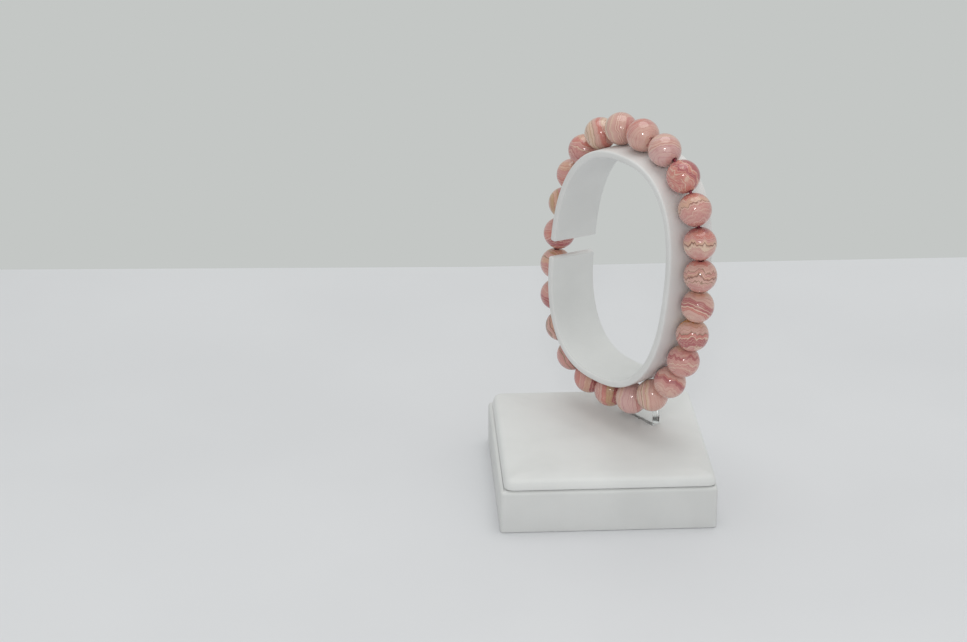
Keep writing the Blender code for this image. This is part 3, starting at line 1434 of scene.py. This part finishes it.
@dataclass
class Bracelet:
    """The beads and the elastic that they are strung on."""

    count: int = 24
    radius: float = 4.57 * MM
    hole_degrees: float = 10.0
    segments: int = 64
    rings: int = 36
    rim: float = 0.03
    cord_radius: float = 0.4 * MM
    cord_reach: float = 0.96
    size_drift: float = 0.004
    first_seed: float = 3.1
    seed_step: float = 1.37

    def centres(self) -> list[Vector]:
        """The middle of each bead's solid."""
        boxes = (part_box(f"bead_{k + 1:02d}") for k in range(self.count))
        return [(Vector(low) + Vector(high)) / 2 for low, high in boxes]

    def build(self, elastic: bpy.types.Material) -> None:
        """Model and dress the beads and the elastic.

        Args:
            elastic: the elastic's finish.
        """
        centres = self.centres()
        after = centres[1:] + centres[:1]
        ways = [(after[k] - centres[k - 1]).normalized() for k in range(self.count)]
        master = self._bead()
        for k, (centre, way, banding) in enumerate(zip(centres, ways, bandings())):
            bead = master.copy()
            bead.data = master.data.copy()
            bead.name = bead.data.name = f"stone_bead_{k + 1:02d}"
            bpy.context.scene.collection.objects.link(bead)
            size = self.radius * (1.0 + self.size_drift * math.sin(2.3 * k))
            spin = way.to_track_quat("Z", "Y").to_matrix().to_4x4()
            grow = Matrix.Diagonal((size, size, size, 1.0))
            settle(bead, Matrix.Translation(centre) @ spin @ grow)
            seed = self.first_seed + self.seed_step * k
            stone = Rhodochrosite(f"rhodochrosite_{k + 1:02d}", centre, size, banding, seed)
            seat(bead, stone.material(), "bead", f"bead_{k + 1:02d}")
        bpy.data.objects.remove(master, do_unlink=True)
        self._elastic(centres, ways, elastic)

    def _bead(self) -> bpy.types.Object:
        """Model one drilled bead of radius 1, with its hole along z and softened rims.

        Returns:
            The bead.
        """
        deselect()
        bpy.ops.mesh.primitive_uv_sphere_add(segments=self.segments, ring_count=self.rings, radius=1.0)
        bead = bpy.context.object
        bead.name = "bead_pattern"
        inner = math.cos(math.radians(self.hole_degrees * 0.75))
        with editing(bead):
            pick("VERT", lambda v: abs(v.co.z) > inner)
            bpy.ops.mesh.delete(type="VERT")
            pick("EDGE", lambda e: e.is_boundary)
            bpy.ops.mesh.bridge_edge_loops()
            bpy.ops.mesh.select_all(action="SELECT")
            bpy.ops.mesh.normals_make_consistent(inside=False)
            hole = math.sin(math.radians(self.hole_degrees)) * 1.01
            pick("EDGE", lambda e: climb(e) < NEAR and e.verts[0].co.xy.length < hole)
            bpy.ops.mesh.bevel(offset=self.rim, segments=3, profile=0.5)
        smooth(bead, 60.0)
        return bead

    def _elastic(self, centres: list[Vector], ways: list[Vector], finish: bpy.types.Material) -> None:
        """Model and dress the closed cord through the beads' holes.

        Args:
            centres: the beads' middles.
            ways: each bead's way along the cord.
            finish: the cord's finish.
        """
        curve = bpy.data.curves.new("elastic_loop", "CURVE")
        curve.dimensions = "3D"
        curve.bevel_depth = self.cord_radius
        curve.bevel_resolution = 4
        spline = curve.splines.new("POLY")
        spots = []
        for centre, way in zip(centres, ways):
            reach = way * (self.radius * self.cord_reach)
            spots += [centre - reach, centre - reach * 0.5, centre + reach * 0.5, centre + reach]
        spline.points.add(len(spots) - 1)
        for point, spot in zip(spline.points, spots):
            point.co = (*spot, 1.0)
        spline.use_cyclic_u = True
        cord = bpy.data.objects.new("elastic_loop", curve)
        bpy.context.scene.collection.objects.link(cord)
        activate(cord)
        bpy.ops.object.convert(target="MESH")
        smooth(cord, 60.0)
        seat(cord, finish, "elastic", "elastic_cord")


def main() -> None:
    """Build every piece in turn."""
    logging.basicConfig(level=logging.INFO, format="%(message)s")
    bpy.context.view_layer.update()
    Studio().build()
    Eye().build()
    wrap = Leatherette("leatherette_base", paint(222, 222, 221)).material()
    pad_cover = Leatherette("leatherette_pad", paint(231, 231, 230)).material()
    ring_cover = Leatherette("leatherette_ring", paint(228, 227, 226)).material()
    lining_cover = Leatherette("leatherette_lining", paint(225, 225, 224)).material()
    oval, stem = Oval(), Stem()
    Base().build(wrap, LinerPaper().material())
    Pad().build(oval, stem, pad_cover)
    stem.build(oval, ClearAcrylic().material())
    Strip("ring_wrap", 0.0, 15.9 * MM, 1.95 * MM, 0.8 * MM).build(oval, ring_cover, "ring_band")
    lining = Strip("lining_strip", 1.8 * MM, 15.0 * MM, 0.25 * MM, 0.11 * MM, short=0.5 * MM)
    lining.build(oval, lining_cover, "ring_lining")
    Bracelet().build(ElasticFibre().material())


if __name__ == "__main__":
    main()
